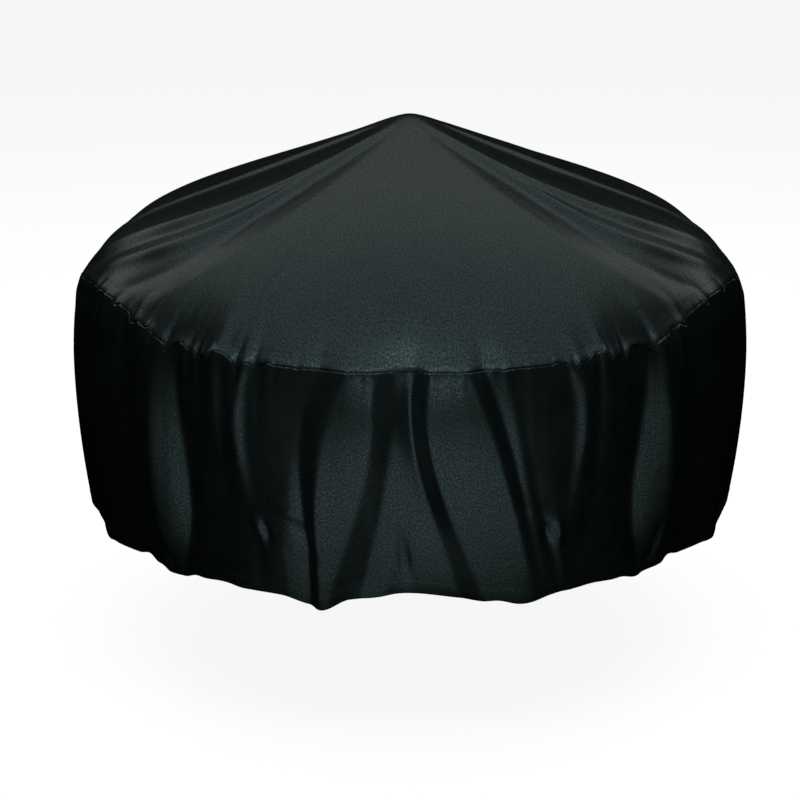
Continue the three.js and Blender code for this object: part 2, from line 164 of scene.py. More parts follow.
# The level line at the front and the lines of the back, which no mirror repeats.
TOP_BACK_LINES = tuple(TopLine(*row) for row in (
    (0, 0, 0, 0, 0, 0, 0),
    (146, 146, 145, 141, 4, 6, 5),
    (160, 160, 158, 156, -3, -5, -5),
    (171, 172, 173, 174, 4, 7, 5),
    (183, 184, 186, 188, -3, -5, -6),
    (198, 199, 200, 202, 5, 7, 5),
    (214, 214, 216, 219, -1, -3, -4),
))

# The lines of the skirt, all the way round from the front.
SKIRT_LINES = tuple(SkirtLine(*row) for row in (
    (0.4, 0.8, 3.8, 8.6, -6, -19, -10.5, -7),
    (2.8, 2.8, 6.8, 11.6, 1.5, 5.5, 5.5, 3.5),
    (9, 13.2, 16.6, 19.5, 4, 9.5, 8, 5),
    (10.8, 14.9, 18, 22, -1, 0, 3.4, 3),
    (14.5, 16.6, 19.5, 23.4, 1, 2.5, 3.2, 3),
    (16, 17.8, 20.7, 24.6, 0, 0.8, 1, 2),
    (20.5, 21, 23, 26, 0, 1, 2, 2),
    (24.3, 25.4, 24.4, 27.2, 0, 0, 0, 1),
    (25.8, 27.2, 26, 28.5, 4, 5, -0.5, 1),
    (29.8, 29.6, 29.6, 30.2, 0, -1, -2, 1),
    (31.2, 31.2, 31.4, 32, 4, 1, -2, 2),
    (34.5, 34, 33.5, 36, 0, -3, -4, 1),
    (39.5, 39.2, 38.2, 42.2, -3, -12, -14, -6),
    (42.5, 43.4, 44, 44.2, 2, 12, 13, 3),
    (52, 51, 51, 52, -1, -2, -2, -3),
    (61, 60, 61, 60, 2, 4, 5, 7),
    (71, 71, 71, 71, -2, -5, -6, -4),
    (81, 80, 80, 81, 1, 3, 3, 3),
    (90, 90, 89, 89, -1, -2, -2, -1),
    (97, 96, 97, 98, 1, 3, 2, 2),
    (103, 103, 104, 103, -2, -6, -6, -5),
    (110, 111, 109, 107, 2, 6, 6, 5),
    (122, 122, 124, 125, -3, -7, -7, -5),
    (137, 136, 135, 138, 2, 6, 6, 7),
    (143, 144, 144, 143, 0, 1, 0, 2),
    (149, 150, 151, 149, -2, -7, -8, -5),
    (163, 162, 163, 165, 2, 5, 5, 5),
    (170, 170, 171, 172, 0, 0, -2, -1),
    (177, 178, 178, 176, -3, -6, -7, -7),
    (192, 193, 194, 191, 2, 6, 6, 5),
    (207, 206, 205, 207, -2, -7, -7, -5),
    (214, 214, 213, 213, 0, 0, -1, 1),
    (221, 222, 222, 219, 2, 5, 6, 7),
    (236, 235, 235, 236, -3, -6, -7, -6),
    (250, 251, 251, 248, 2, 6, 6, 4),
    (257, 257, 256, 257, -2, -6, -6, -5),
    (263, 263, 264, 264, 1, 2, 2, 2),
    (270, 271, 270, 271, -1, -2, -2, -1),
    (280, 281, 281, 280, 1, 3, 3, 4),
    (289, 290, 290, 289, -2, -5, -6, -5),
    (300, 300, 300, 302, 2, 4, 5, 6),
    (309, 309, 309, 309, -1, -2, -2, -3),
    (317, 316.8, 316.8, 317, 2, 12, 13, 3),
    (321, 321.4, 322.4, 319, -3, -12, -14, -6),
    (326, 326, 326, 325, 0, -3, -4, 1),
    (329, 329, 329, 329, 4, 1, -2, 2),
    (330.4, 330.6, 331, 331.5, 0, -1, -2, 2),
    (334.2, 333, 335, 336, 4, 5, -0.5, 1),
    (335.7, 334.6, 336.6, 338, 0, 0, 0, 1),
    (341.5, 341.5, 341.5, 342, 0, 1, 2, 3),
    (346.5, 343.6, 344.2, 344.2, -1, 1, -1, -3),
    (350.5, 346.6, 345.6, 345.6, 5, 11, 11, 7),
    (354.2, 353.9, 351, 347, 3.5, 8.5, 7.5, 6),
    (357.2, 357, 355.2, 352, -2.5, -8, -13, -10),
    (358.6, 358.6, 357.8, 355.4, -4, -12.5, -11.5, -8.5),
    (359.6, 359.6, 359.9, 357.6, -5, -15.5, -12, -11),
))

# Where the hem hangs lower, or rides higher, than its level line.
HEM_DIPS = tuple(Dip(*row) for row in (
    (0, 62, 84, -8),
    (-14, 48, 32, 11),
    (18, 34, 48, 7),
    (-31, 40, 26, -3),
    (31, 34, 30, -2),
    (-41, 32, 30, 8),
    (41, 36, 26, 8),
    (-49, 24, 20, -5),
    (48, 16, 30, -6),
    (-66, 74, 60, 10),
    (67, 66, 78, 11),
    (97, 60, 60, -4),
    (128, 90, 84, 6),
    (163, 86, 90, -5),
    (-142, 84, 90, 7),
    (-98, 62, 66, -5),
))

# Where the seam rides up over the shoulder, in long sweeps.
SEAM_RISES = tuple(Dip(*row) for row in (
    (62, 200, 238, 34),
    (95, 238, 238, 17),
    (128, 238, 238, 22),
    (161, 238, 250, 17),
    (-161, 250, 238, 19),
    (-128, 238, 238, 20),
    (-95, 238, 238, 17),
    (-62, 238, 200, 34),
))

# Short waves of the seam, beside the front.
SEAM_WAVES = tuple(Dip(*row) for row in (
    (-38, 22, 16, 6),
    (37, 16, 24, 6),
    (-31, 14, 30, 9),
    (31, 30, 14, 9),
))

# Small tabs of the top panel's edge, which hang or stand up at the seam.
SEAM_TABS = tuple(Dip(*row) for row in (
    (-57, 9, 12, -5),
    (-51, 7, 14, -8),
    (-46, 8, 8, 4),
    (-41.4, 5, 12, -10),
    (-34.7, 7, 6, -14),
    (-32.4, 4, 5, -4),
    (-27, 9, 8, -8),
    (-24.2, 5, 6, -4),
    (-21.5, 6, 7, 2),
    (-17, 6, 6, -1.5),
    (-9, 5, 5, -1),
    (7, 5, 5, -1),
    (14, 6, 7, -1.5),
    (22.5, 6, 6, 2),
    (25.6, 7, 6, -6),
    (29, 5, 6, 3),
    (32, 6, 5, -11),
    (35, 6, 7, -14),
    (41.2, 12, 5, -9),
    (46, 8, 8, 3),
    (50, 13, 7, -8),
    (58, 12, 9, -6),
    (66, 10, 12, -5),
    (-66, 10, 12, -5),
))

# Short creases, ledges and hollows of the skirt.
SKIRT_CREASES = tuple(Crease(*row) for row in (
    (-21, 158, -15.8, 170, 13, 1.8),
    (-18, 176, -15.4, 190, 12, -1.6),
    (-15.4, 186, -14.4, 220, 10, -2),
    (16.5, 164, 21, 152, 12, 1.5),
    (-1.6, 190, -0.4, 250, 12, -4),
    (20.8, 178, 21.8, 205, 9, -4),
    (23.2, 176, 23.8, 206, 8, 3),
    (-24.5, 178, -23.4, 200, 9, 2.5),
    (-22.8, 182, -22, 206, 8, -3),
    (-44.6, 205, -42.2, 262, 7, -3),
    (43.4, 205, 42.6, 262, 7, -3),
))


def bump(offset: Array, left: float, right: float) -> Array:
    """Give a soft bump of height 1 at offset 0 that falls to 0 over each of its two widths."""
    share = np.abs(offset) / np.where(offset < 0, left, right)
    return np.where(share < 1, 0.5 + 0.5 * np.cos(math.pi * np.minimum(share, 1)), 0.0)


def through_four(first: float, second: float, third: float, last: float, share: Array) -> Array:
    """Give a smooth value through four given ones.

    Args:
        first: the value at 0.
        second: the value at a third.
        third: the value at two thirds.
        last: the value at 1.
        share: where the value is wanted.

    Returns:
        The value there.
    """
    third_way, two_thirds = 1 / 3, 2 / 3
    total = first * -4.5 * (share - third_way) * (share - two_thirds) * (share - 1)
    total = total + second * 13.5 * share * (share - two_thirds) * (share - 1)
    total = total - third * 13.5 * share * (share - third_way) * (share - 1)
    return total + last * 4.5 * share * (share - third_way) * (share - two_thirds)


def facets(table: tuple, share: Array, angle: Array, softness: Array, kept: Array | float = 1.0) -> Array:
    """Give the height of cloth that runs flat from each line to the next, its creases rounded.

    Args:
        table: the crest and trough lines.
        share: a column of shares of the way along the lines.
        angle: a row of angles.
        softness: rows by angles, how many degrees the rounding of a crease reaches to each side.
        kept: how much of the lines' heights is kept at each share.

    Returns:
        The heights, rows by angles.
    """
    lines = np.hstack([line.angle_at(share) for line in table])
    heights = np.hstack([line.height_at(share) for line in table]) * kept
    total = np.zeros((len(lines), angle.size))
    for reach, weight in ROUNDING:
        for row in range(len(lines)):
            turned = angle.ravel() + reach * softness[row]
            total[row] += weight * np.interp(turned, lines[row], heights[row], period=360.0)
    return total


def arc_between(start: Array | float, end: Array, radius: Array | float) -> Array:
    """Give the distance round a circle from one angle to another, to the right if positive."""
    turn = np.mod(end - start + 180.0, 360.0) - 180.0
    return np.radians(turn) * radius


def from_front(angle: Array) -> Array:
    """Give how many degrees an angle lies from the front, on either side."""
    return np.abs(np.mod(angle + 180.0, 360.0) - 180.0)


def ramp(value: Array, low: float, high: float) -> Array:
    """Rise smoothly from 0 at the low value to 1 at the high one."""
    share = np.clip((value - low) / (high - low), 0.0, 1.0)
    return share * share * (3 - 2 * share)


def around(radius: Array, height: Array, angle: Array) -> Array:
    """Give the points at a radius and a height, at each angle."""
    turn = np.radians(angle)
    return np.stack([radius * np.sin(turn), -radius * np.cos(turn), height + 0 * turn], -1)


def linear_colour(code: str) -> tuple[float, float, float, float]:
    """Turn an sRGB hex colour into the linear one that a shader takes.

    Args:
        code: six hex digits after a hash.

    Returns:
        Red, green, blue and an alpha of 1.
    """
    channels = [int(code[i:i + 2], 16) / 255 for i in (1, 3, 5)]
    linear = [c / 12.92 if c <= 0.04045 else ((c + 0.055) / 1.055) ** 2.4 for c in channels]
    return (linear[0], linear[1], linear[2], 1.0)


def add_object(name: str, data: ID) -> Object:
    """Make an object and put it in the scene.

    Args:
        name: its name.
        data: its mesh, light or camera.

    Returns:
        The object.
    """
    added = bpy.data.objects.new(name, data)
    bpy.context.collection.objects.link(added)
    return added


def empty_material(name: str) -> Material:
    """Make a material whose node tree is empty.

    Args:
        name: its name.

    Returns:
        The material.
    """
    material = bpy.data.materials.new(name)
    material.use_nodes = True
    material.node_tree.nodes.clear()
    return material


def add_node(tree: NodeTree, kind: str, settings: dict | None = None, links: dict | None = None,
             inputs: dict | None = None) -> Node:
    """Add a node with its settings, input values and links.

    Args:
        tree: the node tree it goes into.
        kind: the node's type name.
        settings: attribute name to value.
        links: input name or number to the output socket that feeds it.
        inputs: input name or number to its value.

    Returns:
        The new node.
    """
    node = tree.nodes.new(kind)
    for name, value in (settings or {}).items():
        setattr(node, name, value)
    for name, value in (inputs or {}).items():
        node.inputs[name].default_value = value
    for name, socket in (links or {}).items():
        tree.links.new(socket, node.inputs[name])
    return node


@dataclass(frozen=True)
class CoatedPolyester:
    """Oxford polyester with a thin polyurethane coat: plain woven, dyed black-green, calendered.

    The coat gives it a satin sheen that dies away where the cloth turns from the light. The yarn breaks the
    sheen up into a fine grain, and handling leaves soft, faintly lighter and darker patches.
    """

    name: str = "coated_polyester"
    colour_dark: str = "#111717"
    colour_light: str = "#1a2222"
    sheen_tint: str = "#d4ffff"
    roughness: float = 0.31
    specular: float = 0.5
    ior: float = 1.5
    # How far the yarns carry the gloss and the roughness up and down.
    gloss_grain: float = 0.36
    roughness_grain: float = 0.06
    # Real yarns lie about 0.5 mm apart. They are drawn coarser, so that the grain shows a step away.
    yarn_mm: float = 2.2
    patch_mm: float = 45.0
    wrinkle_mm: float = 16.0
    yarn_relief_mm: float = 0.06
    wrinkle_relief_mm: float = 0.35
    yarn_in_colour: float = 0.8
    darkest_level: float = 0.65
    lightest_level: float = 1.15
    yarn_low: float = 0.3
    yarn_high: float = 0.7

    def make(self) -> Material:
        """Build the cloth's material from the flat position of each point of the cloth.

        Returns:
            The material.
        """
        material = empty_material(self.name)
        tree = material.node_tree
        flat = add_node(tree, "ShaderNodeAttribute", {"attribute_name": "flat_mm"}).outputs["Vector"]
        yarn = add_node(tree, "ShaderNodeTexNoise", links={"Vector": flat},
                        inputs={"Scale": 1 / self.yarn_mm, "Detail": 2.0, "Roughness": 0.6})
        patch = add_node(tree, "ShaderNodeTexNoise", links={"Vector": flat},
                         inputs={"Scale": 1 / self.patch_mm, "Detail": 3.0, "Roughness": 0.55})
        wrinkle = add_node(tree, "ShaderNodeTexNoise", links={"Vector": flat},
                           inputs={"Scale": 1 / self.wrinkle_mm, "Detail": 2.0, "Distortion": 0.6})
        mottle = add_node(tree, "ShaderNodeMath", {"operation": "MULTIPLY_ADD"},
                          {0: yarn.outputs["Fac"], 2: patch.outputs["Fac"]}, {1: self.yarn_in_colour})
        level = add_node(tree, "ShaderNodeMapRange", links={"Value": mottle.outputs["Value"]},
                         inputs={"From Min": self.darkest_level, "From Max": self.lightest_level})
        colour = add_node(tree, "ShaderNodeMix", {"data_type": "RGBA"},
                          {"Factor": level.outputs["Result"]},
                          {6: linear_colour(self.colour_dark), 7: linear_colour(self.colour_light)})
        yarn_range = {"From Min": self.yarn_low, "From Max": self.yarn_high}
        shine = add_node(tree, "ShaderNodeMapRange", links={"Value": yarn.outputs["Fac"]},
                         inputs=yarn_range | {"To Min": self.roughness - self.roughness_grain,
                                              "To Max": self.roughness + self.roughness_grain})
        gloss = add_node(tree, "ShaderNodeMapRange", links={"Value": yarn.outputs["Fac"]},
                         inputs=yarn_range | {"To Min": self.specular + self.gloss_grain,
                                              "To Max": self.specular - self.gloss_grain})
        fine = add_node(tree, "ShaderNodeBump", links={"Height": yarn.outputs["Fac"]},
                        inputs={"Strength": 1.0, "Distance": self.yarn_relief_mm * MILLIMETRE})
        soft = add_node(tree, "ShaderNodeBump",
                        links={"Height": wrinkle.outputs["Fac"], "Normal": fine.outputs["Normal"]},
                        inputs={"Strength": 1.0, "Distance": self.wrinkle_relief_mm * MILLIMETRE})
        shader = add_node(tree, "ShaderNodeBsdfPrincipled",
                          links={"Base Color": colour.outputs[2], "Roughness": shine.outputs["Result"],
                                 "Specular IOR Level": gloss.outputs["Result"],
                                 "Normal": soft.outputs["Normal"]},
                          inputs={"IOR": self.ior, "Specular Tint": linear_colour(self.sheen_tint)})
        add_node(tree, "ShaderNodeOutputMaterial", links={"Surface": shader.outputs["BSDF"]})
        return material


@dataclass(frozen=True)
class BondedThread:
    """Bonded polyester sewing thread: twisted, dyed to match the cloth, with a slight gloss of its own."""

    name: str = "bonded_thread"
    colour: str = "#1a2222"
    roughness: float = 0.55
    twist_mm: float = 0.8
    twist_relief_mm: float = 0.1
    twist_strength: float = 0.6
    # The wave texture runs through 20 bands for each unit of its scale.
    bands_in_wave: float = 20.0

    def make(self) -> Material:
        """Build the thread's material with its fine slanting twist.

        Returns:
            The material.
        """
        material = empty_material(self.name)
        tree = material.node_tree
        place = add_node(tree, "ShaderNodeTexCoord").outputs["Object"]
        twist = add_node(tree, "ShaderNodeTexWave", {"bands_direction": "DIAGONAL"}, {"Vector": place},
                         {"Scale": 1 / (self.twist_mm * MILLIMETRE) / self.bands_in_wave})
        relief = add_node(tree, "ShaderNodeBump", links={"Height": twist.outputs["Fac"]},
                          inputs={"Strength": self.twist_strength,
                                  "Distance": self.twist_relief_mm * MILLIMETRE})
        shader = add_node(tree, "ShaderNodeBsdfPrincipled", links={"Normal": relief.outputs["Normal"]},
                          inputs={"Base Color": linear_colour(self.colour), "Roughness": self.roughness})
        add_node(tree, "ShaderNodeOutputMaterial", links={"Surface": shader.outputs["BSDF"]})
        return material


@dataclass(frozen=True)
class CoverForm:
    """The draped form that the two pieces share, in millimetres. It keeps to that of the solids."""

    cover_diameter: float = 840.0
    seam_diameter: float = 828.0
    hem_diameter: float = 810.0
    top_height: float = 212.0
    skirt_depth: float = 269.0
    cloth_thickness: float = 2.0
    cone_slope: float = 0.343
    peak_rounding: float = 12.0
    front_shoulder_power: float = 5.0
    side_shoulder_power: float = 8.0
    seam_reach_power: float = 14.0
    stray_reach_power: float = 55.0
    widest_depth: float = 85.0
    shoulder_lean: float = 0.33
    front_crowding: float = 0.35
    crease_reach: float = 3.5
    back_crease_reach: float = 9.0
    top_crease_reach: float = 4.0
    # Between these angles from the front, the creases grow softer and the shoulder tighter.
    softer_from: float = 45.0
    softer_to: float = 100.0
    tighter_from: float = 50.0
    tighter_to: float = 90.0
    # Shares of the way to the seam by which the top's folds have grown in, and from which they fade out.
    folds_in_by: float = 0.2
    folds_out_from: float = 0.93

    @property
    def seam_radius(self) -> float:
        """The radius at the seam's level line."""
        return self.seam_diameter / 2

    @property
    def hem_radius(self) -> float:
        """The plain radius at the hem."""
        return self.hem_diameter / 2

    @property
    def seam_z(self) -> float:
        """The height of the seam's level line."""
        return self.cloth_thickness - self.top_height

    def columns(self, count: int) -> Array:
        """Give the angles of the columns, which stand closer together at the front."""
        even = np.arange(count) * 2 * math.pi / count
        return np.degrees(even - self.front_crowding * np.sin(even))

    def sum_of_dips(self, rows: tuple[Dip, ...], angle: Array, radius: float) -> Array:
        """Add up how far a table's rows carry an edge off its mean line.

        Args:
            rows: the table.
            angle: a row of angles.
            radius: the edge's radius.

        Returns:
            The distance at each angle.
        """
        total = np.zeros_like(angle)
        for row in rows:
            total += row.amount * bump(arc_between(row.angle, angle, radius), row.left, row.right)
        return total

    def seam_rise(self, angle: Array) -> Array:
        """Give how far the seam rides up over the shoulder, above its level line."""
        return self.sum_of_dips(SEAM_RISES, angle, self.seam_radius)

    def seam_stray(self, angle: Array) -> Array:
        """Give how far the seam strays up from that smooth run, in short waves and small tabs."""
        return self.sum_of_dips(SEAM_WAVES + SEAM_TABS, angle, self.seam_radius)

    def gather(self, down: Array, angle: Array) -> Array:
        """Give how far the gathers carry the skirt out from its plain round form.

        Args:
            down: a share, or a column of them, of the way from the seam to the hem.
            angle: a row of angles.

        Returns:
            The distances, shares by angles.
        """
        down = np.asarray(down, dtype=float).reshape(-1, 1)
        softer = ramp(from_front(angle), self.softer_from, self.softer_to)
        reach = self.crease_reach + (self.back_crease_reach - self.crease_reach) * softer
        softness = np.degrees(reach / self.seam_radius) + 0 * down
        return facets(SKIRT_LINES, down, angle, softness)

    def top_fold(self, across: Array, angle: Array) -> Array:
        """Give how far the folds lift the top panel above its plain cone.

        Args:
            across: a column of shares of the way from the peak to the seam.
            angle: a row of angles.

        Returns:
            The heights, shares by angles.
        """
        table = TOP_SIDE_LINES + tuple(line.mirrored() for line in TOP_SIDE_LINES) + TOP_BACK_LINES
        kept = ramp(across, 0.0, self.folds_in_by) * (1 - ramp(across, self.folds_out_from, 1.0))
        radius = np.maximum(across * self.seam_radius, self.crease_reach)
        softness = np.degrees(self.top_crease_reach / radius) + 0 * angle
        return facets(table, across, angle, softness, kept)

    def shoulder_power_at(self, angle: Array) -> Array:
        """Give how tightly the shoulder rolls over: softly in front, tighter at the sides."""
        share = ramp(from_front(angle), self.tighter_from, self.tighter_to)
        return self.front_shoulder_power + (self.side_shoulder_power - self.front_shoulder_power) * share

    def plain_top_height(self, radius: Array, angle: Array) -> Array:
        """Give the height of the plain cone and its shoulder.

        Args:
            radius: the distance from the middle.
            angle: the angle of each point.

        Returns:
            The height, above what holds the cover up.
        """
        rounding = self.peak_rounding
        cone = self.cone_slope * (np.hypot(radius, rounding) - rounding)
        cone_at_seam = self.cone_slope * (math.hypot(self.seam_radius, rounding) - rounding)
        roll = (radius / self.seam_radius) ** self.shoulder_power_at(angle)
        return self.cloth_thickness - cone - (self.top_height - cone_at_seam) * roll

    def plain_skirt_radius(self, depth: Array) -> Array:
        """Give the plain radius of the skirt.

        Args:
            depth: how far below the seam's level line.

        Returns:
            The radius there.
        """
        widest = self.cover_diameter / 2
        above = self.seam_radius + self.shoulder_lean * depth
        upper = widest - (widest - self.seam_radius) * (1 - depth / self.widest_depth) ** 2
        below_widest = (depth - self.widest_depth) / (self.skirt_depth - self.widest_depth)
        lower = widest - (widest - self.hem_radius) * below_widest ** 2
        return np.where(depth < 0, above, np.where(depth < self.widest_depth, upper, lower))


@dataclass(frozen=True)
class Puckers:
    """Fine puckers where the two pieces are gathered into the seam: tight at the sides, slight in front."""

    count: int = 150
    narrow_mm: float = 6.0
    wide_mm: float = 11.0
    height_mm: float = 2.6
    short_mm: float = 18.0
    long_mm: float = 75.0
    # Shares: of the spacing that a pucker may stray, of the full height that the least has, of hollows.
    stray: float = 0.38
    least: float = 0.25
    hollows: float = 0.45
    # The higher this power, the fewer long puckers.
    rarity: float = 2.2
    fade_power: float = 1.4
    front_strength: float = 0.22
    tighter_from: float = 12.0
    tighter_to: float = 34.0
    looser_from: float = 70.0
    looser_to: float = 120.0
    looser_by: float = 0.35
    seed: int = 11

    def strength(self, angle: Array) -> Array:
        """Give how tightly the cloth is gathered into the seam.

        Args:
            angle: a row of angles.

        Returns:
            Shares from 0 to 1.
        """
        side = from_front(angle)
        tighter = ramp(side, self.tighter_from, self.tighter_to)
        looser = self.looser_by * ramp(side, self.looser_from, self.looser_to)
        return self.front_strength + (1 - self.front_strength) * tighter * (1 - looser)

    def rows(self) -> list[tuple[float, float, float, float]]:
        """Draw each pucker's angle, width, height and length.

        Returns:
            One tuple for each pucker.
        """
        draw = np.random.default_rng(self.seed)
        spacing = 360.0 / self.count
        rows = []
        for number in range(self.count):
            angle = (number + draw.uniform(-self.stray, self.stray)) * spacing
            width = draw.uniform(self.narrow_mm, self.wide_mm)
            height = self.height_mm * draw.uniform(self.least, 1.0)
            height *= draw.choice([-1.0, 1.0], p=[self.hollows, 1 - self.hollows])
            length = self.short_mm + (self.long_mm - self.short_mm) * draw.uniform(0, 1) ** self.rarity
            rows.append((angle, width, height, length))
        return rows

    def relief(self, away: Array, angle: Array, radius: float, reach: float) -> Array:
        """Give the puckers' height at a distance from the seam.

        Args:
            away: the distance from the seam along the cloth.
            angle: the angle of each point.
            radius: the seam's radius.
            reach: how long the puckers are on this piece, as a share of their drawn length.

        Returns:
            The height in millimetres, outward.
        """
        total = np.zeros(np.broadcast(away, angle).shape)
        for at, width, height, length in self.rows():
            fade = np.exp(-((away / (length * reach)) ** self.fade_power))
            total += height * fade * bump(arc_between(at, angle, radius), width, width)
        return total * self.strength(angle)


def sheet_mesh(name: str, points: Array, flat: Array,
               peak: tuple[list[float], list[float]] | None = None) -> Mesh:
    """Make a mesh from rings of points, one ring for each row.

    Args:
        name: the mesh's name.
        points: rows by columns by three, in millimetres.
        flat: the same, with each point's place on the flat cloth.
        peak: the point and flat place where all columns meet before the first row, if they do.

    Returns:
        The mesh, in metres, with its faces pointing out and its flat places kept as flat_mm.
    """
    rows, columns, _ = points.shape
    places = points.reshape(-1, 3)
    flats = flat.reshape(-1, 3)
    index = np.arange(rows * columns).reshape(rows, columns)
    right = np.roll(index, -1, axis=1)
    quads = np.stack([index[:-1], index[1:], right[1:], right[:-1]], -1).reshape(-1, 4).tolist()
    if peak is not None:
        places = np.vstack([places, peak[0]])
        flats = np.vstack([flats, peak[1]])
        top = rows * columns
        quads += [[top, int(a), int(b)] for a, b in zip(index[0], right[0])]
    mesh = bpy.data.meshes.new(name)
    mesh.from_pydata((places * MILLIMETRE).tolist(), [], quads)
    kept = mesh.attributes.new("flat_mm", "FLOAT_VECTOR", "POINT")
    kept.data.foreach_set("vector", flats.astype(np.float32).ravel())
    mesh.shade_smooth()
    mesh.update()
    return mesh


def cloth_object(name: str, mesh: Mesh, material: Material, thickness_mm: float) -> Object:
    """Make a cloth piece with its thickness laid inward.

    Args:
        name: its name.
        mesh: its outer face.
        material: the cloth.
        thickness_mm: how thick it is.

    Returns:
        The object.
    """
    piece = add_object(name, mesh)
    mesh.materials.append(material)
    solidify = piece.modifiers.new("thickness", "SOLIDIFY")
    solidify.thickness = thickness_mm * MILLIMETRE
    solidify.offset = -1.0
    solidify.use_even_offset = False
    return piece


@dataclass
class TopPanel:
    """The top panel: a cone of cloth with ridges from its peak, puckered at its shoulder seam."""

    form: CoverForm
    puckers: Puckers
    columns: int = 700
    rows: int = 64
    row_power: float = 1.45
    thickness_mm: float = 1.0
    # How much longer the way to the seam is on the cloth than on the level, at the shoulder and in all.
    shoulder_stretch: float = 1.25
    slant_stretch: float = 1.08
    # The lip is where the edge, turned under along the seam, stands out.
    lip_out_mm: float = 0.4
    lip_up_share: float = 0.35
    lip_width_mm: float = 8.0
    lip_start: float = 0.4
    # The puckers are lower and shorter than on the skirt. Past the tuck they lift the cloth instead.
    pucker_height: float = 0.38
    pucker_length: float = 0.5
    tuck_mm: float = 30.0
    fine_crease_mm: float = 0.45
    fine_creases: int = 34
    fine_bend: float = 7.0
    fine_from_mm: float = 40.0
    fine_to_mm: float = 190.0
    fine_narrow_mm: float = 10.0
    fine_wide_mm: float = 26.0
    curved_mm: float = -1.3
    curved_angle: float = -26.0
    curved_bend: float = -4.0
    curved_from_mm: float = 300.0
    curved_run_mm: float = 100.0
    curved_left_mm: float = 5.0
    curved_right_mm: float = 7.0
    seed: int = 5

    def point(self, across: Array, angle: Array) -> Array:
        """Give the points of the outer face, from the peak (across 0) to the seam (across 1).

        Args:
            across: a column of shares.
            angle: a row of angles.

        Returns:
            The points, rows by columns by three.
        """
        form = self.form
        rise = form.seam_rise(angle)
        stray = form.seam_stray(angle)
        seam_radius = form.plain_skirt_radius(-rise)
        radius = across * seam_radius
        near_seam = across ** form.shoulder_power_at(angle)
        at_seam = across ** form.seam_reach_power
        last_bit = across ** form.stray_reach_power
        folds = form.top_fold(across, angle)
        lift = form.seam_z + rise - form.plain_top_height(seam_radius, angle)
        away = (seam_radius - radius) * self.shoulder_stretch
        lip_start = self.lip_width_mm * self.lip_start
        lip = self.lip_out_mm * bump(away - lip_start, lip_start, self.lip_width_mm)
        pucker = self.pucker_height * self.puckers.relief(away, angle, form.seam_radius, self.pucker_length)
        tuck = np.exp(-((away / self.tuck_mm) ** 2))
        out = at_seam * form.gather(0.0, angle) + (pucker + lip) * tuck
        out += last_bit * (form.plain_skirt_radius(-rise - stray) - seam_radius)
        z = form.plain_top_height(radius, angle) + folds + near_seam * lift + last_bit * stray
        z = z + pucker * (1 - tuck) + self.lip_up_share * lip + self.creases(radius, angle)
        return around(radius + out, z, angle)

    def creases(self, radius: Array, angle: Array) -> Array:
        """Give the fine creases that run out from the peak, and the one curved crease left of the front.

        Args:
            radius: the distance of each point from the middle.
            angle: a row of angles.

        Returns:
            The height at each point.
        """
        draw = np.random.default_rng(self.seed)
        total = np.zeros(np.broadcast(radius, angle).shape)
        for _ in range(self.fine_creases):
            at = draw.uniform(-180, 180)
            bend = draw.uniform(-self.fine_bend, self.fine_bend)
            start = draw.uniform(self.fine_from_mm, self.fine_to_mm)
            width = draw.uniform(self.fine_narrow_mm, self.fine_wide_mm)
            height = self.fine_crease_mm * draw.uniform(-1, 1)
            share = np.clip((radius - start) / (self.form.seam_radius - start), 0, 1)
            line = at + bend * share ** 2
            total += height * np.sin(math.pi * share) * bump(arc_between(line, angle, radius), width, width)
        share = np.clip((radius - self.curved_from_mm) / self.curved_run_mm, 0, 1)
        aside = arc_between(self.curved_angle + self.curved_bend * share ** 2, angle, radius)
        hollow = bump(aside, self.curved_left_mm, self.curved_right_mm)
        return total + self.curved_mm * np.sin(math.pi * share) * hollow

    def build(self, material: Material) -> Object:
        """Args:
            material: the cloth.

        Returns:
            The piece.
        """
        angle = self.form.columns(self.columns)[None, :]
        shares = 1 - (1 - np.arange(1, self.rows + 1) / self.rows) ** self.row_power
        across = shares[:, None]
        points = self.point(across, angle)
        slant = across * self.form.seam_radius * self.slant_stretch
        turn = np.radians(angle)
        flat = np.stack([slant * np.sin(turn), slant * np.cos(turn), 0 * slant * turn], -1)
        peak = ([0.0, 0.0, self.form.cloth_thickness], [0.0, 0.0, 0.0])
        mesh = sheet_mesh("top_cloth", points, flat, peak)
        piece = cloth_object("top_cloth", mesh, material, self.thickness_mm)
        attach(piece, "root")
        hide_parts("top_panel")
        return piece


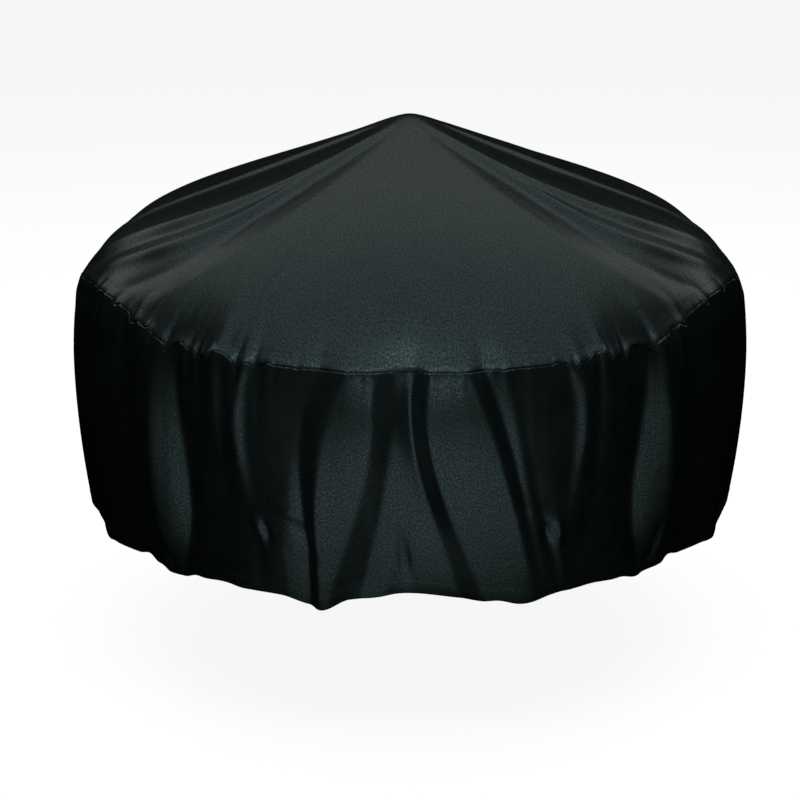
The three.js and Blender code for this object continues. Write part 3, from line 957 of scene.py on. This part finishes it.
@dataclass
class Skirt:
    """The skirt: a band gathered at the seam, hung in loose folds, with a turned and stitched hem."""

    form: CoverForm
    puckers: Puckers
    columns: int = 700
    rows: int = 64
    thickness_mm: float = 1.0
    row_power: float = 1.08
    hem_width_mm: float = 16.0
    hem_step_mm: float = 0.12
    hem_step_run_mm: float = 1.5
    # Rows of the mesh: beside the hem's upper edge, and inside the hem, at shares of its width.
    hem_row_gap: float = 0.004
    rows_in_hem: tuple[float, ...] = (0.6, 0.3, 0.1, 0.0)
    # Just under the seam the cloth is drawn in.
    tuck_in_mm: float = 0.7
    tuck_mm: float = 4.0
    ripples: int = 40
    ripple_mm: float = 1.2
    ripple_lean: float = 4.0
    ripple_narrow_mm: float = 9.0
    ripple_wide_mm: float = 22.0
    # Shares of the skirt's depth, for the ripples' middles and lengths.
    ripple_top: float = 0.1
    ripple_bottom: float = 0.95
    ripple_short: float = 0.22
    ripple_long: float = 0.55
    ripple_least: float = 0.4
    crease_end: float = 0.8
    seed: int = 23

    def point(self, down: Array, angle: Array) -> Array:
        """Give the points of the outer face, from the seam (down 0) to the hem (down 1).

        Args:
            down: a column of shares.
            angle: a row of angles.

        Returns:
            The points, rows by columns by three.
        """
        form = self.form
        rise = form.seam_rise(angle) + form.seam_stray(angle)
        depth = down * (form.skirt_depth + rise) - rise
        from_seam = depth + rise
        radius = form.plain_skirt_radius(depth) + form.gather(down, angle)
        radius += self.puckers.relief(from_seam, angle, form.seam_radius, 1.0)
        radius += self.ripple(down, angle) + self.creases(depth, angle)
        dip = form.sum_of_dips(HEM_DIPS, angle, form.hem_radius)
        from_hem = (1 - down) * (form.skirt_depth + rise)
        past_hem_edge = self.hem_width_mm - from_hem
        radius += self.hem_step_mm * ramp(past_hem_edge, -self.hem_step_run_mm, self.hem_step_run_mm)
        radius -= self.tuck_in_mm * np.exp(-((from_seam / self.tuck_mm) ** 2))
        z = form.seam_z - depth - down ** 2 * dip
        return around(radius, z, angle)

    def ripple(self, down: Array, angle: Array) -> Array:
        """Give the smaller folds between the main ones, each over its own stretch of the skirt.

        Args:
            down: a column of shares of the way from the seam to the hem.
            angle: a row of angles.

        Returns:
            How far out they carry each point.
        """
        draw = np.random.default_rng(self.seed)
        total = np.zeros(np.broadcast(down, angle).shape)
        for _ in range(self.ripples):
            at = draw.uniform(-180, 180)
            lean = draw.uniform(-self.ripple_lean, self.ripple_lean)
            width = draw.uniform(self.ripple_narrow_mm, self.ripple_wide_mm)
            middle = draw.uniform(self.ripple_top, self.ripple_bottom)
            length = draw.uniform(self.ripple_short, self.ripple_long)
            height = self.ripple_mm * draw.uniform(self.ripple_least, 1.0) * draw.choice([-1.0, 1.0])
            fade = bump(down - middle, length, length)
            line = at + lean * (down - middle)
            total += height * fade * bump(arc_between(line, angle, self.form.seam_radius), width, width)
        return total

    def creases(self, depth: Array, angle: Array) -> Array:
        """Give the short creases and ledges that are listed.

        Args:
            depth: how far each point lies below the seam's level line.
            angle: a row of angles.

        Returns:
            How far out they carry each point.
        """
        total = np.zeros(np.broadcast(depth, angle).shape)
        for crease in SKIRT_CREASES:
            run = arc_between(crease.start_angle, np.array(crease.end_angle), self.form.seam_radius)
            fall = crease.end_depth - crease.start_depth
            length = math.hypot(float(run), fall)
            along_x, along_y = float(run) / length, fall / length
            x = arc_between(crease.start_angle, angle, self.form.seam_radius)
            y = depth - crease.start_depth
            along = x * along_x + y * along_y
            aside = x * along_y - y * along_x
            ends = bump(along - length / 2, self.crease_end * length, self.crease_end * length)
            total += crease.height * ends * bump(aside, crease.width, crease.width)
        return total

    def row_shares(self) -> Array:
        """Give how far down each row of the mesh lies. The rows stand closer together at the hem.

        Returns:
            Shares of the way from the seam to the hem.
        """
        hem = self.hem_width_mm / self.form.skirt_depth
        gap = self.hem_row_gap
        hem_rows = [1 - hem - gap, 1 - hem, 1 - hem + gap] + [1 - share * hem for share in self.rows_in_hem]
        last = 1 - hem - 2 * gap
        body_rows = last * np.linspace(0, 1, self.rows - len(hem_rows)) ** self.row_power
        return np.concatenate([body_rows, hem_rows])

    def build(self, material: Material) -> Object:
        """Args:
            material: the cloth.

        Returns:
            The piece.
        """
        form = self.form
        angle = form.columns(self.columns)[None, :]
        down = self.row_shares()[:, None]
        points = self.point(down, angle)
        arc = arc_between(0.0, angle, form.seam_radius)
        flat = np.stack([arc + 0 * down, -down * form.skirt_depth + 0 * arc, 0 * down * arc], -1)
        mesh = sheet_mesh("skirt_cloth", points, flat)
        piece = cloth_object("skirt_cloth", mesh, material, self.thickness_mm)
        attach(piece, "root")
        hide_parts("skirt")
        return piece


@dataclass
class Stitching:
    """A row of lockstitch laid along an edge of a piece, as short beads of thread sunk in the cloth."""

    name: str
    edge: Edge
    piece: TopPanel | Skirt
    stitch_mm: float = 4.2
    gap_mm: float = 1.6
    thread_mm: float = 0.55
    from_edge_mm: float = 13.0
    # How far a stitch's middle stands off the cloth, as a share of the thread's thickness.
    off_cloth: float = 0.25
    sides: int = 6

    def line(self, turns: Array) -> Array:
        """Give points on the piece's face along the row of stitches.

        Args:
            turns: the angles.

        Returns:
            The points in millimetres.
        """
        if self.edge is Edge.HEM:
            share = 1 - self.from_edge_mm / self.piece.form.skirt_depth
        else:
            share = 1 - self.from_edge_mm / self.piece.form.seam_radius
        return self.piece.point(np.full((1, 1), share), turns[None, :])[0]

    def build(self, material: Material) -> Object:
        """Build every stitch of the row as one joined mesh.

        Args:
            material: the thread.

        Returns:
            The piece.
        """
        radius = self.piece.form.seam_radius
        pitch = math.degrees((self.stitch_mm + self.gap_mm) / radius)
        count = int(360 / pitch)
        starts = np.arange(count) * 360.0 / count
        span = math.degrees(self.stitch_mm / radius)
        shares = np.array(STITCH_SHARES)
        girth = np.array(STITCH_GIRTHS) * self.thread_mm / 2
        turns = (starts[:, None] + span * shares[None, :]).ravel()
        path = self.line(turns).reshape(count, len(shares), 3)
        outward = path.copy()
        outward[..., 2] = 0
        outward /= np.linalg.norm(outward, axis=-1, keepdims=True)
        upward = np.array([0.0, 0.0, 1.0])
        round_turn = np.linspace(0, 2 * math.pi, self.sides, endpoint=False)[:, None, None, None]
        ring = np.cos(round_turn) * outward[None] + np.sin(round_turn) * upward
        middle = path[None] + outward[None] * self.off_cloth * self.thread_mm
        points = np.moveaxis(middle + ring * girth[None, None, :, None], 0, 2)
        faces = []
        steps = len(shares)
        for stitch in range(count):
            base = stitch * steps * self.sides
            for step in range(steps - 1):
                start = base + step * self.sides
                for side in range(self.sides):
                    here, beside = start + side, start + (side + 1) % self.sides
                    faces.append([here, beside, beside + self.sides, here + self.sides])
            faces.append([base + side for side in reversed(range(self.sides))])
            faces.append([base + (steps - 1) * self.sides + side for side in range(self.sides)])
        mesh = bpy.data.meshes.new(self.name)
        mesh.from_pydata((points.reshape(-1, 3) * MILLIMETRE).tolist(), [], faces)
        mesh.shade_smooth()
        mesh.materials.append(material)
        piece = add_object(self.name, mesh)
        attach(piece, "root")
        log.info("%s: %d stitches", self.name, count)
        return piece


@dataclass(frozen=True)
class Softbox:
    """A square or oblong soft light of a studio, in metres and watts."""

    name: str
    place: tuple[float, float, float]
    aim: tuple[float, float, float]
    width: float
    height: float
    power: float

    def make(self) -> None:
        """Hang the light."""
        light = bpy.data.lights.new(self.name, "AREA")
        light.shape = "RECTANGLE"
        light.size = self.width
        light.size_y = self.height
        light.energy = self.power
        lamp = add_object(self.name, light)
        lamp.location = self.place
        lamp.rotation_euler = (Vector(self.aim) - Vector(self.place)).to_track_quat("-Z", "Y").to_euler()
        lamp.visible_camera = False


@dataclass
class Studio:
    """The plain pale floor, the softboxes, the surround and the camera."""

    camera_back: float = 2.484
    camera_up: float = 0.386
    pitch_down: float = 16.85
    lens_mm: float = 91.0
    sensor_mm: float = 36.0
    photo_px: float = 800.0
    object_right_px: float = 10.0
    floor_z: float = -0.679
    floor_size: float = 60.0
    floor_colour: str = "#a0a0a0"
    floor_glow: float = 0.93
    floor_roughness: float = 0.9
    surround: str = "#fdfdfd"
    # A light that hangs or lies level aims a hair aside, which keeps its sides square to the room.
    lights: tuple[Softbox, ...] = (
        Softbox("overhead", (0.0, 0.5, 2.1), (0.0, 0.501, 0.0), 4.2, 4.0, 31.5),
        Softbox("front_high", (0.0, -1.9, 2.1), (0.0, -1.899, 0.0), 3.0, 0.8, 17.5),
        Softbox("left_back", (-2.0, 1.6, 1.2), (0.0, 0.0, -0.1), 1.4, 1.0, 2.9),
        Softbox("right_back", (2.0, 1.6, 1.2), (0.0, 0.0, -0.1), 1.4, 1.0, 2.9),
        Softbox("low_front", (0.0, -2.6, 0.1), (0.0, 0.0, -0.3), 1.0, 0.6, 3.0),
        Softbox("front_floor", (0.0, -1.9, -0.66), (0.0, -1.899, 1.0), 1.15, 1.2, 3.2),
        Softbox("wide_floor", (-0.15, -1.9, -0.66), (-0.15, -1.899, 1.0), 2.6, 1.2, 2.3),
        Softbox("middle_floor", (0.0, -1.05, -0.66), (0.0, -1.049, 1.0), 1.0, 0.5, 1.1),
        Softbox("near_floor", (0.0, -0.7, -0.66), (0.0, -0.699, 1.0), 0.9, 0.2, 0.25),
    )

    def make_floor(self) -> None:
        """Lay the floor, which is kept out of the cloth's reflections so that its blacks stay deep."""
        half = self.floor_size / 2
        corners = [(x * half, y * half, self.floor_z) for x, y in ((-1, -1), (1, -1), (1, 1), (-1, 1))]
        mesh = bpy.data.meshes.new("floor")
        mesh.from_pydata(corners, [], [(0, 1, 2, 3)])
        material = bpy.data.materials.new("pale_floor")
        material.use_nodes = True
        shader = material.node_tree.nodes["Principled BSDF"]
        shader.inputs["Base Color"].default_value = linear_colour(self.floor_colour)
        shader.inputs["Roughness"].default_value = self.floor_roughness
        shader.inputs["Emission Color"].default_value = linear_colour(self.surround)
        shader.inputs["Emission Strength"].default_value = self.floor_glow
        mesh.materials.append(material)
        floor = add_object("floor", mesh)
        floor.visible_glossy = False
        floor.visible_diffuse = False

    def make_surround(self) -> None:
        """Fill what lies past the floor with the same pale tone, and let it light nothing."""
        world = bpy.data.worlds.new("surround")
        world.use_nodes = True
        background = world.node_tree.nodes["Background"]
        background.inputs["Color"].default_value = linear_colour(self.surround)
        background.inputs["Strength"].default_value = 1.0
        world.cycles_visibility.diffuse = False
        world.cycles_visibility.glossy = False
        bpy.context.scene.world = world

    def make_camera(self) -> None:
        """Set the camera at the photograph's viewing angle and framing."""
        data = bpy.data.cameras.new("camera")
        data.lens = self.lens_mm
        data.sensor_width = self.sensor_mm
        data.shift_x = -self.object_right_px / self.photo_px
        camera = add_object("camera", data)
        camera.location = (0.0, -self.camera_back, self.camera_up)
        camera.rotation_euler = (math.radians(90 - self.pitch_down), 0.0, 0.0)
        bpy.context.scene.camera = camera

    def build(self) -> None:
        """Build the whole studio."""
        self.make_floor()
        self.make_surround()
        self.make_camera()
        for light in self.lights:
            light.make()
        bpy.context.scene.view_settings.view_transform = "Standard"
        log.info("studio: %d lights", len(self.lights))


def main() -> None:
    """Build the studio, then each piece of the cover."""
    logging.basicConfig(level=logging.INFO, format="%(name)s: %(message)s")
    Studio().build()
    cloth = CoatedPolyester().make()
    thread = BondedThread().make()
    form = CoverForm()
    puckers = Puckers()
    top = TopPanel(form, puckers)
    skirt = Skirt(form, puckers)
    top.build(cloth)
    skirt.build(cloth)
    Stitching("hem_stitches", Edge.HEM, skirt).build(thread)
    Stitching("seam_stitches", Edge.SEAM, top, from_edge_mm=11.0).build(thread)


if __name__ == "__main__":
    main()
